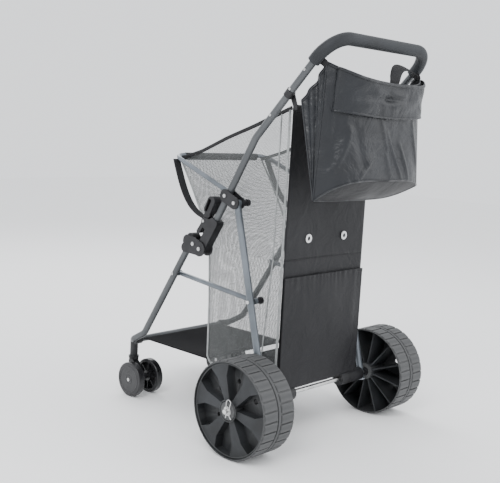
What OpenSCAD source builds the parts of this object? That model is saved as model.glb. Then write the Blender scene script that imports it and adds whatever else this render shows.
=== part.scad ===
// Folding beach cart: two side frames of bent steel tube, big rear wheels, twin-wheel casters,
// a hanging cargo bag and a tote on the handle. Front is -Y, the pusher stands at +Y, X is width.
// The origin is on the floor, at the middle of the cart's overall box.

/* [Wheels] */
// Radius of a rear wheel
wheel_r = 127; // [105:1:150]
// Width of a rear wheel
wheel_w = 110; // [80:1:130]
// Thickness of the rear wheel's tread band
tread_wall = 5; // [4:0.5:10]
// Radius of the rear wheel's hub
hub_r = 24; // [18:1:32]
// Diameter of the rear axle
axle_d = 12; // [10:0.5:14]
// Radius of a caster wheel
caster_r = 52; // [42:1:56]
// Width of one caster wheel
caster_w = 22; // [16:1:26]
// Distance between the two wheels of a caster, centre to centre
caster_pair = 71; // [60:1:80]
// How far a caster's axle trails behind its stem
caster_trail = 36; // [20:1:42]

/* [Frame] */
// Half the distance between the side frames, centre to centre
side_x = 212; // [195:1:250]
// Diameter of the main tubes
tube_d = 19; // [16:0.5:22]
// Wall of the main tubes
tube_wall = 1.5; // [1:0.1:2.5]
// Diameter of the braces and the hoop
brace_d = 13; // [10:0.5:14]
// Diameter of the pivot bolts and rivets
bolt_d = 6; // [5:0.5:7]
// Rise of the leg pivot above the rear axle
leg_rise = 503; // [430:1:560]
// How far the leg pivot stands ahead of the rear axle
leg_lean = 132; // [100:1:160]
// Height of the fold hinge above the floor
hinge_z = 492; // [450:1:540]
// How far the fold hinge stands ahead of the rear axle
hinge_ahead = 254; // [230:1:280]
// How far the front tube runs ahead of the fold hinge
tube_step = 48; // [42:1:56]
// Rake of the front tube from the vertical, in degrees
front_rake = 32; // [26:0.5:38]
// Length of the front tube's straight part below the fold hinge
front_run = 370; // [330:1:400]
// Distance of the brace pivot down the front tube
brace_drop = 132.5; // [110:0.5:160]
// Distance of the brace pivot down the rear leg from its top pivot
brace_leg_drop = 261.6; // [240:0.1:285]

/* [Handle] */
// Rake of the handle tube from the vertical, in degrees
handle_rake = 29.5; // [24:0.5:34]
// Distance from the fold hinge to the handle's bend
bend_run = 357; // [330:1:400]
// Rake of the handle's upper part from the vertical, in degrees
grip_rake = 42.7; // [36:0.1:50]
// Length of the handle's upper part
grip_run = 336; // [290:1:370]
// Bend radius at the handle's upper corners
corner_r = 70; // [50:1:90]
// Outside diameter of the foam grip
foam_d = 32; // [27:1:38]
// Distance of the pivot bracket from the fold hinge
bracket_run = 177; // [160:1:190]

/* [Bag] */
// Half the width of the cargo bag
bag_half = 168; // [140:1:168]
// Thickness of the bag's cloth
cloth = 2; // [1.2:0.1:3]
// Height of the bag's floor above the ground
bag_floor_z = 160; // [152:1:180]
// Height of the bag's rear top edge
bag_top_z = 888; // [840:1:890]
// Reach of the hoop from the pivot bracket
hoop_run = 262; // [230:1:280]
// Tilt of the hoop above the horizontal, in degrees
hoop_tilt = 20.7; // [12:0.1:26]

/* [Tote] */
// Half the width of the tote
tote_half = 198; // [170:1:198]
// Height of the tote's top rear edge
tote_top_z = 977; // [960:1:985]
// Height of the tote's lowest edge
tote_low_z = 665; // [640:1:700]

/* [Hidden] */
$fn = 48;

// Clearances
slip = 0.05;        // radial, round a turning pin
gap = 0.4;          // between flat faces that move past each other

// Directions in the side view, where a point is [y, z]
function up_back(a) = [sin(a), cos(a)];
function back_of(a) = [cos(a), -sin(a)];
function side_pt(x, p) = [x, p[0], p[1]];
function mix(p, q, t) = p + t * (q - p);

// The overall box sets where the axle lies
tote_back = 188;
foot_gap = 12;
bar_ahead = 558;
bar_z = 165;
stem_ahead = bar_ahead + 12;
box_front = stem_ahead - caster_trail + caster_r;
axle_y = (box_front - tote_back) / 2;
axle_z = wheel_r;

function from_axle(y, z) = [axle_y + y, z];

// Side frame points
axle_pt = from_axle(0, axle_z);
hinge_pt = from_axle(-hinge_ahead, hinge_z);
leg_pt = from_axle(-leg_lean, axle_z + leg_rise);
leg_dir = (axle_pt - leg_pt) / norm(axle_pt - leg_pt);
leg_end = axle_pt + 18 * leg_dir;
leg_brace_pt = leg_pt + brace_leg_drop * leg_dir;
tube_top = hinge_pt - tube_step * back_of(front_rake);
front_brace_pt = tube_top - brace_drop * up_back(front_rake);
front_kink = tube_top - front_run * up_back(front_rake);
bar_pt = from_axle(-bar_ahead, bar_z);
bend_pt = hinge_pt + bend_run * up_back(handle_rake);
grip_pt = bend_pt + grip_run * up_back(grip_rake);
bracket_pt = hinge_pt + bracket_run * up_back(handle_rake);
hoop_pt = bracket_pt + hoop_run * [-cos(hoop_tilt), sin(hoop_tilt)];
lock_pt = tube_top + 18.6 * back_of(front_rake) - [0, 4.6];

// Layers from the side frame's middle outwards (plus) and inwards (minus)
tube_r = tube_d / 2;
plate_t = 4;
plate_in = tube_r + 0.2;
plate_out = plate_in + plate_t;
brace_x = side_x - tube_r - gap - brace_d / 2;
hoop_x = side_x - plate_out - gap - brace_d / 2;
cap_in = bag_half + 2;
eye_half = brace_d / 2 - 0.8;
latch_half = 13;
cheek_t = 3;
wheel_in = side_x + tube_r + foot_gap + 0.5;
wheel_mid = wheel_in + wheel_w / 2;
stem_x = side_x - 27;
stem_y = axle_y - stem_ahead;
stem_r = 5;

// ---------- helpers ----------

module both() {
    children();
    mirror([1, 0, 0]) children();
}

module on_side(s) {
    if (s > 0) children();
    else mirror([1, 0, 0]) children();
}

// Extrudes a side-view outline from x0 to x1
module plate(x0, x1) {
    translate([x0, 0, 0]) rotate([90, 0, 90]) linear_extrude(x1 - x0) children();
}

// A round bar across the cart from x0 to x1 at a side-view point
module cross_pin(p, x0, x1, r) {
    translate([x0, p[0], p[1]]) rotate([0, 90, 0]) cylinder(r = r, h = x1 - x0);
}

// Turns the z axis from a towards b
module along(a, b) {
    v = b - a;
    translate(a) rotate([0, acos(v[2] / norm(v)), atan2(v[1], v[0])]) children();
}

module straight(a, b, d, wall) {
    along(a, b) difference() {
        cylinder(d = d, h = norm(b - a));
        if (wall > 0) translate([0, 0, -1]) cylinder(d = d - 2 * wall, h = norm(b - a) + 2);
    }
}

// One bend of a tube: it comes in along u, leaves along v, and the corner is at p
module elbow(p, u, v, r, d) {
    ang = acos(u * v);
    inward = (v - u * (u * v)) / norm(v - u * (u * v));
    axis = cross(-inward, u);
    c = p - u * r * tan(ang / 2) + inward * r;
    multmatrix([
        [-inward[0], u[0], axis[0], c[0]],
        [-inward[1], u[1], axis[1], c[1]],
        [-inward[2], u[2], axis[2], c[2]],
        [0, 0, 0, 1]
    ])
    rotate_extrude(angle = ang) translate([r, 0]) circle(d = d);
}

function unit(v) = v / norm(v);
function is_end(pts, i) = i == 0 || i == len(pts) - 1;
function turn_at(pts, i) = acos(unit(pts[i] - pts[i - 1]) * unit(pts[i + 1] - pts[i]));

// How much shorter a straight is at a bend; it reaches a little way into the swollen elbow
function bend_trim(pts, i, radii) = is_end(pts, i) ? 0
    : radii[i - 1] * tan(turn_at(pts, i) / 2) - min(1, 0.1 * radii[i - 1]);

// A solid rod bent at each inner point
elbow_swell = 0.12;
module bent_rod(pts, radii, d) {
    for (i = [0 : len(pts) - 2]) {
        u = unit(pts[i + 1] - pts[i]);
        straight(pts[i] + u * bend_trim(pts, i, radii), pts[i + 1] - u * bend_trim(pts, i + 1, radii), d, 0);
    }
    for (i = [1 : len(pts) - 2])
        elbow(pts[i], unit(pts[i] - pts[i - 1]), unit(pts[i + 1] - pts[i]), radii[i - 1], d + elbow_swell);
}

function past_ends(pts) = [for (i = [0 : len(pts) - 1])
    i == 0 ? pts[0] + unit(pts[0] - pts[1])
    : i == len(pts) - 1 ? pts[i] + unit(pts[i] - pts[i - 1]) : pts[i]];

module bent_tube(pts, radii, d, wall) {
    difference() {
        bent_rod(pts, radii, d);
        bent_rod(past_ends(pts), radii, d - 2 * wall);
    }
}

// A flat bar outline with round ends
module bar_shape(p, q, rp, rq) {
    u = unit(q - p);
    n = [-u[1], u[0]];
    keep = 0.97;
    translate(p) circle(rp);
    translate(q) circle(rq);
    polygon([p + n * rp * keep, q + n * rq * keep, q - n * rq * keep, p - n * rp * keep]);
}

module ring(r0, r1, h) {
    difference() {
        cylinder(r = r1, h = h);
        translate([0, 0, -1]) cylinder(r = r0, h = h + 2);
    }
}

// ---------- handle frame ----------

tube_end_run = 34;
handle_path = [
    side_pt(side_x, hinge_pt + tube_end_run * up_back(handle_rake)),
    side_pt(side_x, bend_pt),
    side_pt(side_x, grip_pt),
    side_pt(-side_x, grip_pt),
    side_pt(-side_x, bend_pt),
    side_pt(-side_x, hinge_pt + tube_end_run * up_back(handle_rake))
];
bend_r = 60;
foam_back = 78;

module handle_tube() {
    color([0.42, 0.43, 0.44]) difference() {
        bent_tube(handle_path, [bend_r, corner_r, corner_r, bend_r], tube_d, tube_wall);
        both() cross_pin(bracket_pt, side_x - tube_r - 1, side_x + tube_r + 1, bolt_d / 2);
        both() for (s = snap_runs)
            cross_pin(bend_pt + s * up_back(grip_rake), side_x + tube_r - snap_sink, side_x + tube_r + 1, snap_r + slip);
    }
}

module foam_grip() {
    start = grip_pt - foam_back * up_back(grip_rake);
    color([0.2, 0.21, 0.22])
        bent_tube(
            [side_pt(side_x, start), side_pt(side_x, grip_pt), side_pt(-side_x, grip_pt), side_pt(-side_x, start)],
            [corner_r, corner_r], foam_d, (foam_d - tube_d) / 2 - 0.05);
}

module bracket_shape() {
    difference() {
        bar_shape(bracket_pt, leg_pt, 18, 16);
        translate(leg_pt) circle(r = bolt_d / 2);
        translate(bracket_pt) circle(r = bolt_d / 2);
    }
}

module pivot_plates(s) {
    color([0.16, 0.16, 0.17]) on_side(s) {
        plate(side_x + plate_in, side_x + plate_out) bracket_shape();
        plate(side_x - plate_out, side_x - plate_in) bracket_shape();
    }
}

head_t = 2.5;
module rivet(p, x0, x1, head_r) {
    cross_pin(p, x0, x1, bolt_d / 2);
    cross_pin(p, x1, x1 + head_t, head_r);
}

module leg_bolts() {
    color("silver") both() rivet(leg_pt, cap_in + 4, side_x + plate_out, 5);
}

module hoop_bolts() {
    color("silver") both() {
        rivet(bracket_pt, hoop_x - brace_d / 2 - 1, side_x + plate_out, 5);
        cross_pin(bracket_pt, hoop_x - brace_d / 2 - 1 - head_t, hoop_x - brace_d / 2 - 1, 5);
    }
}

// Black sleeves and round caps on the inner ends of the leg bolts
module inner_cap(p, x_outer) {
    difference() {
        union() {
            cross_pin(p, cap_in + 8, x_outer, 6.5);
            cross_pin(p, cap_in, cap_in + 8, 9.5);
        }
        cross_pin(p, cap_in + 4, x_outer + 1, bolt_d / 2);
    }
}

module bolt_caps() {
    color([0.1, 0.1, 0.1]) both() inner_cap(leg_pt, side_x - plate_out);
}

// Buttons that stand out of shallow holes in the handle tube
snap_runs = [80, 168, 231];
snap_r = 3.5;
snap_sink = 0.8;
snap_proud = 2.2;
module snap_buttons() {
    color("silver") both() for (s = snap_runs)
        cross_pin(bend_pt + s * up_back(grip_rake), side_x + tube_r - snap_sink, side_x + tube_r + snap_proud, snap_r);
}

// ---------- latch ----------

// A point beside the handle tube: run along it from the hinge, then ahead of it
function by_handle(run, ahead) = hinge_pt + run * up_back(handle_rake) - ahead * back_of(handle_rake);

lever_pt = by_handle(72, 31);
ear_t = 4;
lever_half = latch_half - ear_t - 0.3;

module latch_body(s) {
    color([0.17, 0.17, 0.18]) on_side(s) difference() {
        union() {
            plate(side_x - latch_half, side_x + latch_half) union() {
                translate(hinge_pt) circle(r = 15);
                polygon([by_handle(0, 14.5), by_handle(92, 13), by_handle(100, 8), by_handle(100, -15),
                    by_handle(92, -18), by_handle(20, -16), by_handle(0, -14.5)]);
            }
            for (x = [side_x - latch_half, side_x + latch_half - ear_t])
                plate(x, x + ear_t)
                    polygon([by_handle(54, 8), by_handle(60, 34), by_handle(70, 39), by_handle(80, 37), by_handle(92, 8)]);
        }
        along(side_pt(side_x, by_handle(tube_end_run, 0)), side_pt(side_x, by_handle(110, 0)))
            cylinder(d = tube_d + 0.1, h = 90);
        cross_pin(hinge_pt, side_x - 20, side_x + 20, bolt_d / 2 + slip);
        cross_pin(lever_pt, side_x - 20, side_x + 20, 2.5);
    }
}

module lever(s) {
    color([0.2, 0.2, 0.21]) on_side(s) difference() {
        union() {
            plate(side_x - lever_half, side_x + lever_half) union() {
                bar_shape(by_handle(34, 36), lever_pt, 6, 7);
                bar_shape(lever_pt, by_handle(98, 33), 7, 12);
            }
            plate(side_x - latch_half, side_x + latch_half) bar_shape(by_handle(108, 34), by_handle(134, 35), 14, 14);
        }
        plate(side_x - 2, side_x + latch_half + 1) bar_shape(by_handle(104, 38), by_handle(132, 40), 4.5, 5.5);
        cross_pin(lever_pt, side_x - 20, side_x + 20, 2.5 + slip);
    }
}

module lever_pins() {
    color("silver") both() {
        cross_pin(lever_pt, side_x - latch_half, side_x + latch_half, 2.5);
        cross_pin(lever_pt, side_x + latch_half, side_x + latch_half + 1.5, 4);
    }
}

cheek_in = latch_half + gap;
cheek_out = cheek_in + cheek_t;

module cheek_shape() {
    difference() {
        union() {
            bar_shape(hinge_pt, lock_pt, 21, 19);
            bar_shape(lock_pt, tube_top - 12 * up_back(front_rake), 19, 19);
            bar_shape(hinge_pt, tube_top - 34 * up_back(front_rake), 20, 13);
        }
        translate(hinge_pt) circle(r = bolt_d / 2);
        translate(lock_pt) circle(r = bolt_d / 2);
    }
}

module latch_socket(s) {
    color([0.2, 0.2, 0.21]) on_side(s) difference() {
        union() {
            plate(side_x + cheek_in, side_x + cheek_out) cheek_shape();
            plate(side_x - cheek_out, side_x - cheek_in) cheek_shape();
            plate(side_x - cheek_in, side_x + cheek_in)
                bar_shape(tube_top + 2 * up_back(front_rake), tube_top - 34 * up_back(front_rake), 12.5, 12.5);
        }
        along(side_pt(side_x, tube_top - 6 * up_back(front_rake)), side_pt(side_x, tube_top - 60 * up_back(front_rake)))
            cylinder(d = tube_d + 0.1, h = 70);
    }
}

module hinge_rivets() {
    color("silver") both() {
        rivet(hinge_pt, side_x - cheek_out, side_x + cheek_out, 5.5);
        cross_pin(hinge_pt, side_x - cheek_out - head_t, side_x - cheek_out, 5.5);
    }
}

module lock_pins() {
    color("silver") both() {
        rivet(lock_pt, side_x - cheek_out, side_x + cheek_out, 5.5);
        cross_pin(lock_pt, side_x - cheek_out - head_t, side_x - cheek_out, 5.5);
    }
}

// ---------- front frame ----------

front_path = [
    side_pt(side_x, tube_top - 6 * up_back(front_rake)),
    side_pt(side_x, front_kink),
    side_pt(side_x, bar_pt),
    side_pt(-side_x, bar_pt),
    side_pt(-side_x, front_kink),
    side_pt(-side_x, tube_top - 6 * up_back(front_rake))
];
kink_r = 40;
front_corner_r = 30;

// The solid outline of the front bar's corner, for what is fitted round it
module front_corner_rod(d) {
    rise = side_pt(side_x, mix(bar_pt, front_kink, 0.5));
    bent_rod([side_pt(stem_x - 40, bar_pt), side_pt(side_x, bar_pt), rise], [front_corner_r], d);
}

module front_tube() {
    color([0.47, 0.48, 0.49]) difference() {
        bent_tube(front_path, [kink_r, front_corner_r, front_corner_r, kink_r], tube_d, tube_wall);
        both() cross_pin(front_brace_pt, side_x - tube_r - 1, side_x + tube_r + 1, bolt_d / 2);
    }
}

module brace_rivets() {
    color("silver") both() {
        rivet(front_brace_pt, brace_x - brace_d / 2 - 0.5, side_x + tube_r, 4.5);
        cross_pin(front_brace_pt, brace_x - brace_d / 2 - 0.5 - head_t, brace_x - brace_d / 2 - 0.5, 5);
    }
}

module brace(s) {
    color([0.6, 0.62, 0.64]) on_side(s) difference() {
        union() {
            straight(side_pt(brace_x, front_brace_pt), side_pt(brace_x, leg_brace_pt), brace_d, 0);
            for (p = [front_brace_pt, leg_brace_pt])
                cross_pin(p, brace_x - eye_half, brace_x + eye_half, brace_d / 2 + 1.5);
        }
        cross_pin(front_brace_pt, brace_x - 20, brace_x + 20, bolt_d / 2 + slip);
        cross_pin(leg_brace_pt, brace_x - 20, brace_x + 20, bolt_d / 2);
    }
}

// The brace's rear bolt ends just short of the leg, so the pair can part while the cart folds
module brace_cap(s) {
    color([0.1, 0.1, 0.1]) on_side(s) {
        cross_pin(leg_brace_pt, brace_x - brace_d / 2, brace_x + brace_d / 2, bolt_d / 2);
        cross_pin(leg_brace_pt, cap_in + 8, brace_x - brace_d / 2, 6.5);
        cross_pin(leg_brace_pt, cap_in, cap_in + 8, 9.5);
    }
}

// ---------- rear frame ----------

module rear_leg(s) {
    color([0.62, 0.66, 0.7]) on_side(s) difference() {
        union() {
            straight(side_pt(side_x, leg_pt), side_pt(side_x, leg_end), tube_d, tube_wall);
            cross_pin(leg_pt, side_x - tube_r + 0.7, side_x + tube_r - 0.7, tube_r - 0.5);
        }
        cross_pin(leg_pt, side_x - 20, side_x + 20, bolt_d / 2 + slip);
        cross_pin(axle_pt, side_x - 20, side_x + 20, axle_d / 2 + slip);
        cross_pin(leg_brace_pt, side_x - 20, side_x + 20, bolt_d / 2);
    }
}

module leg_plugs() {
    color([0.75, 0.77, 0.8]) both() {
        straight(side_pt(side_x, leg_end), side_pt(side_x, leg_end + 2.5 * leg_dir), tube_d, 0);
        straight(side_pt(side_x, leg_end - 8 * leg_dir), side_pt(side_x, leg_end), tube_d - 2 * tube_wall, 0);
    }
}

module leg_studs() {
    color("silver") both() {
        cross_pin(leg_brace_pt, side_x - tube_r, side_x + tube_r, bolt_d / 2);
        cross_pin(leg_brace_pt, side_x + tube_r, side_x + tube_r + head_t, 4.5);
    }
}

axle_over = 12;
clip_x = wheel_in + wheel_w + 6;
clip_d = 2.5;

module axle() {
    tip = wheel_in + wheel_w + axle_over;
    color("silver") difference() {
        cross_pin(axle_pt, -tip, tip, axle_d / 2);
        both() translate([clip_x, axle_pt[0], axle_pt[1] - 20]) cylinder(d = clip_d + 0.4, h = 40);
    }
}

sleeve_len = 100;
sleeve_r = 19;
module axle_sleeves() {
    color([0.1, 0.1, 0.1]) both() difference() {
        cross_pin(axle_pt, side_x - tube_r - 0.5 - sleeve_len, side_x - tube_r - 0.5, sleeve_r);
        cross_pin(axle_pt, 0, side_x, axle_d / 2);
    }
}

module hub_spacers() {
    color([0.1, 0.1, 0.1]) both() difference() {
        cross_pin(axle_pt, side_x + tube_r + 0.3, wheel_in - 0.3, 13);
        cross_pin(axle_pt, side_x, wheel_in + 1, axle_d / 2);
    }
}

module axle_washers() {
    color("silver") both() difference() {
        cross_pin(axle_pt, wheel_in + wheel_w + 0.3, wheel_in + wheel_w + 2, 12);
        cross_pin(axle_pt, wheel_in + wheel_w - 1, wheel_in + wheel_w + 4, axle_d / 2);
    }
}

// A spring clip: one straight leg through the axle, the other waved round it
module hitch_pins() {
    r = axle_d / 2 + clip_d / 2 + 0.1;
    function clip_pt(y, z) = [clip_x, axle_pt[0] + y, axle_pt[1] + z];
    color("silver") both()
        bent_rod(
            [clip_pt(0, -16), clip_pt(0, 26), clip_pt(8, 34), clip_pt(16, 26), clip_pt(r + 4, 13),
                clip_pt(r + 4, -9), clip_pt(r + 11, -17)],
            [5, 5, 5, 8, 8], clip_d);
}

// ---------- rear wheels ----------

spokes = 6;
web_t = 5;
pocket_deep = 34;
side_lip = 5;
rib_t = 4;
module spoke_shape() {
    reach = wheel_r - tread_wall;
    polygon([[hub_r - 3, -8], [hub_r - 3, 8], [reach - 36, 17], [reach + 2, 40], [reach + 2, -40], [reach - 36, -17]]);
}

// The outer face has deep pockets between wide webs; the inner face has thin ribs
module wheel_blank() {
    rim_r = wheel_r - tread_wall;
    face = wheel_w / 2;
    web_z = face - pocket_deep;
    difference() {
        union() {
            translate([0, 0, -face]) ring(rim_r, wheel_r, wheel_w);
            translate([0, 0, web_z - web_t]) cylinder(r = rim_r + 1, h = web_t);
            translate([0, 0, -face]) cylinder(r = hub_r, h = wheel_w);
            intersection() {
                translate([0, 0, web_z - 1]) cylinder(r = rim_r + 1, h = pocket_deep - side_lip + 1);
                for (i = [0 : spokes - 1]) rotate(i * 360 / spokes)
                    translate([0, 0, web_z - 1]) linear_extrude(pocket_deep) spoke_shape();
            }
            for (i = [0 : 2 * spokes - 1]) rotate(i * 180 / spokes)
                translate([hub_r - 3, -rib_t / 2, -face + side_lip])
                    cube([rim_r - hub_r + 4, rib_t, web_z - web_t + face - side_lip + 1]);
        }
        translate([0, 0, -face - 1]) cylinder(r = bush_r, h = wheel_w + 2);
        for (i = [0 : spokes - 1]) rotate((i + 0.5) * 360 / spokes)
            translate([70, 9, web_z - web_t - 1]) cylinder(r = 7, h = web_t + 2);
    }
}

bush_r = 11;
module rear_wheel(s) {
    color([0.22, 0.23, 0.24]) on_side(s)
        translate([wheel_mid, axle_pt[0], axle_pt[1]]) rotate([21, 0, 0]) rotate([0, 90, 0]) wheel_blank();
}

module wheel_bush(s) {
    color([0.12, 0.12, 0.12]) on_side(s) difference() {
        cross_pin(axle_pt, wheel_in, wheel_in + wheel_w, bush_r);
        cross_pin(axle_pt, wheel_in - 1, wheel_in + wheel_w + 1, axle_d / 2 + slip);
    }
}

// ---------- casters ----------

fork_top = 108;
socket_r = 12;
stem_top = bar_z - tube_r - 5;
fork_half = 10;
caster_pt = [stem_y + caster_trail, caster_r];

module caster_socket(s) {
    color([0.12, 0.12, 0.13]) on_side(s) difference() {
        union() {
            translate([stem_x, stem_y, fork_top]) cylinder(r = socket_r, h = stem_top - fork_top + 8);
            translate([stem_x, stem_y, fork_top]) cylinder(r = socket_r + 4, h = 5);
            cross_pin(bar_pt, stem_x - 14, stem_x + 9, tube_r + 4);
            translate([stem_x - 10, stem_y - 6, stem_top]) cube([19, 18, 14]);
        }
        front_corner_rod(tube_d + 0.1);
        translate([stem_x, stem_y, fork_top - 1]) cylinder(r = stem_r + slip, h = stem_top - fork_top + 1);
    }
}

module caster_fork(s) {
    color([0.1, 0.1, 0.1]) on_side(s) difference() {
        union() {
            translate([stem_x, stem_y, fork_top - 12]) cylinder(r = stem_r, h = stem_top - fork_top + 11.5);
            translate([stem_x, stem_y, fork_top - 5.4]) cylinder(r = socket_r + 3, h = 5);
            plate(stem_x - fork_half, stem_x + fork_half) union() {
                bar_shape([stem_y, fork_top - 14], caster_pt, 12, 13);
            }
            cross_pin(caster_pt, stem_x - caster_pair / 2 + caster_w / 2 + 4, stem_x + caster_pair / 2 - caster_w / 2 - 4, 9);
        }
        cross_pin(caster_pt, stem_x - caster_pair, stem_x + caster_pair, 4 + slip);
    }
}

// Ribbed hub, thin web, round-shouldered tread
module caster_wheel() {
    difference() {
        rotate_extrude() difference() {
            union() {
                square([caster_r - 4, caster_w]);
                translate([0, 4]) square([caster_r, caster_w - 8]);
                translate([caster_r - 4, 4]) circle(r = 4);
                translate([caster_r - 4, caster_w - 4]) circle(r = 4);
            }
            translate([-2, -1]) square([6, caster_w + 2]);
            translate([16, 6]) square([caster_r - 26, caster_w]);
            translate([caster_r - 14, caster_w - 4]) square([4, 8]);
        }
    }
    for (i = [0 : 7]) rotate(i * 45) translate([15, -1, 5]) cube([caster_r - 24, 2, caster_w - 9]);
}

module caster_wheels(s) {
    color([0.09, 0.09, 0.09]) on_side(s) for (k = [-1, 1])
        translate([stem_x + k * (caster_pair + caster_w) / 2, caster_pt[0], caster_pt[1]])
            rotate([0, -90 * k, 0]) caster_wheel();
}

module caster_axle(s) {
    half = (caster_pair + caster_w) / 2;
    color("silver") on_side(s) {
        cross_pin(caster_pt, stem_x - half, stem_x + half, 4);
        for (k = [-1, 1]) cross_pin(caster_pt, stem_x + k * (half + 1) - 1, stem_x + k * (half + 1) + 1, 5.5);
    }
}

// ---------- hoop and bag ----------

hoop_path = [
    side_pt(hoop_x, bracket_pt),
    side_pt(hoop_x, hoop_pt),
    side_pt(-hoop_x, hoop_pt),
    side_pt(-hoop_x, bracket_pt)
];
hoop_corner_r = 35;

module hoop_tube() {
    color([0.6, 0.61, 0.62]) difference() {
        union() {
            bent_tube(hoop_path, [hoop_corner_r, hoop_corner_r], brace_d, 1.2);
            both() cross_pin(bracket_pt, hoop_x - eye_half, hoop_x + eye_half, brace_d / 2 + 1.5);
        }
        both() cross_pin(bracket_pt, hoop_x - 20, hoop_x + 20, bolt_d / 2 + slip);
    }
}

// Corners of the bag's side, from the rear bottom round to the rear top
corner_reach = max(0, bag_half - hoop_x + hoop_corner_r);
corner_droop = hoop_corner_r - sqrt(hoop_corner_r * hoop_corner_r - corner_reach * corner_reach);
hem_gap = 1;
hem_pt = hoop_pt + [0, -brace_d / 2 - hem_gap - 0.7 * corner_droop];
bag_rear_y = axle_y + 2;
bag_low_ahead = 262;
neck_pt = from_axle(-276, 508);
bag_low_front = [axle_y - bag_low_ahead, bag_floor_z + 10];
bag_side_outline = [
    [bag_rear_y, bag_floor_z],
    [axle_y - bag_low_ahead + 24, bag_floor_z],
    bag_low_front,
    neck_pt,
    hem_pt,
    from_axle(-222, 800),
    [bag_rear_y, bag_top_z]
];

module bag_side(s) {
    color([0.72, 0.73, 0.72]) on_side(s) plate(bag_half - cloth, bag_half) polygon(bag_side_outline);
}

bag_in = bag_half - cloth - 0.2;

// The front wall: upright below, leaning out to the hoop above
module bag_front() {
    color([0.3, 0.3, 0.31]) plate(-bag_in, bag_in)
        polygon([
            bag_low_front + [0.2, 0.3], neck_pt + [0.2, 0], hem_pt + [1, -1],
            hem_pt + [1 + cloth, -1], neck_pt + [0.2 + cloth, 0], bag_low_front + [0.2 + cloth, 0.3]
        ]);
}

grommet_x = 76;
grommet_z = 546;
grommet_r = 7;
panel_foot = axle_z + sleeve_r + 0.2;
module bag_rear() {
    color([0.1, 0.1, 0.11]) difference() {
        plate(-bag_half, bag_half)
            polygon([
                [bag_rear_y + 0.2, panel_foot], [bag_rear_y + 0.2 + cloth, panel_foot],
                [bag_rear_y + 0.2 + cloth, bag_top_z], [bag_rear_y + 0.2, bag_top_z]
            ]);
        both() translate([grommet_x, bag_rear_y, grommet_z]) rotate([-90, 0, 0])
            cylinder(r = grommet_r, h = 10, center = true);
    }
}

module bag_floor() {
    color([0.12, 0.12, 0.13]) translate([-bag_in, axle_y - bag_low_ahead + 24, bag_floor_z])
        cube([2 * bag_in, bag_low_ahead - 22, cloth]);
}

// The ledge of cloth between the bag and the front bar
apron_front = bar_pt + [tube_r + 1.2, 2];
module apron() {
    a = [axle_y - bag_low_ahead - 0.5, bag_floor_z + 8];
    color([0.1, 0.1, 0.1]) plate(-bag_in, bag_in)
        polygon([a, apron_front, apron_front + [0, cloth], a + [0, cloth]]);
}

pocket_top = 447;
pocket_depth = 9;
module rear_pocket() {
    y0 = bag_rear_y + 0.4 + cloth;
    color([0.1, 0.1, 0.11]) translate([-bag_half, y0, panel_foot]) difference() {
        cube([2 * bag_half, pocket_depth, pocket_top - panel_foot]);
        translate([cloth, -1, cloth]) cube([2 * (bag_half - cloth), pocket_depth - cloth + 1, pocket_top]);
    }
}

module grommets() {
    color("white") both() translate([grommet_x, bag_rear_y + 0.2 + cloth, grommet_z]) rotate([-90, 0, 0])
        ring(grommet_r - 2, grommet_r + 5, 1.5);
}

// Webbing from the hoop's corner down to the latch
module hoop_strap(s) {
    top = hoop_pt + 10 * [cos(hoop_tilt), -sin(hoop_tilt)] - (brace_d / 2 + 2) * [sin(hoop_tilt), cos(hoop_tilt)];
    low = by_handle(64, 52);
    mid = mix(top, low, 0.5) + [-10, -14];
    color([0.08, 0.08, 0.08]) on_side(s) plate(hoop_x - 12, hoop_x + 14)
        polygon([top, mid, low, low + [2, 0.6], mid + [2, 0.6], top + [2, 0.6]]);
}

// ---------- tote ----------

tote_y_top = axle_y + tote_back - 3;
tote_outline = [
    from_axle(56, 893),
    from_axle(112, tote_top_z - 2),
    [tote_y_top, tote_top_z],
    from_axle(180, 876),
    from_axle(160, tote_low_z + 42),
    from_axle(112, tote_low_z)
];
tote_hollow = [
    from_axle(59.5, 892),
    from_axle(112, tote_top_z + 20),
    [tote_y_top - 3, tote_top_z + 20],
    from_axle(177, 876),
    from_axle(157.5, tote_low_z + 43),
    from_axle(112.5, tote_low_z + 5)
];

// The tote seen from above: deep in the middle, drawn in to the handle's arms at its ends
tote_end_y = 130;
tote_turn_x = 150;
tote_flat_x = 100;
tote_deep_y = tote_back - 3;
function tote_plan(grow) = [for (p = [
    [-tote_half, 0], [tote_half, 0], [tote_half, tote_end_y + grow], [tote_turn_x, tote_end_y + 40 + grow],
    [tote_flat_x, tote_deep_y + grow], [-tote_flat_x, tote_deep_y + grow],
    [-tote_turn_x, tote_end_y + 40 + grow], [-tote_half, tote_end_y + grow]
]) [p[0], axle_y + p[1]]];

module tote_body() {
    wall = 2.5;
    color([0.16, 0.16, 0.18]) difference() {
        intersection() {
            plate(-tote_half, tote_half) polygon(tote_outline);
            translate([0, 0, tote_low_z - 1]) linear_extrude(400) polygon(tote_plan(0));
        }
        intersection() {
            plate(-tote_half + wall, tote_half - wall) polygon(tote_hollow);
            translate([0, 0, tote_low_z - 1]) linear_extrude(420) polygon(tote_plan(-wall - 1));
        }
    }
}

tote_pocket_low = 878;
tote_pocket_tall = 90;
module tote_pocket() {
    color([0.18, 0.18, 0.2]) translate([0, 0, tote_pocket_low]) linear_extrude(tote_pocket_tall) difference() {
        polygon(tote_plan(3));
        polygon(tote_plan(0.2));
        translate([-300, axle_y - 10]) square([600, tote_end_y + 18]);
    }
}

tote_flap_half = 105;
module tote_flap() {
    top = grip_pt + [-8.6, -14.9];
    low = from_axle(112, tote_top_z - 1.5);
    color([0.1, 0.1, 0.1]) plate(-tote_flap_half, tote_flap_half)
        polygon([low, low + [2, 0], top + [2, 0], top]);
}

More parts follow.
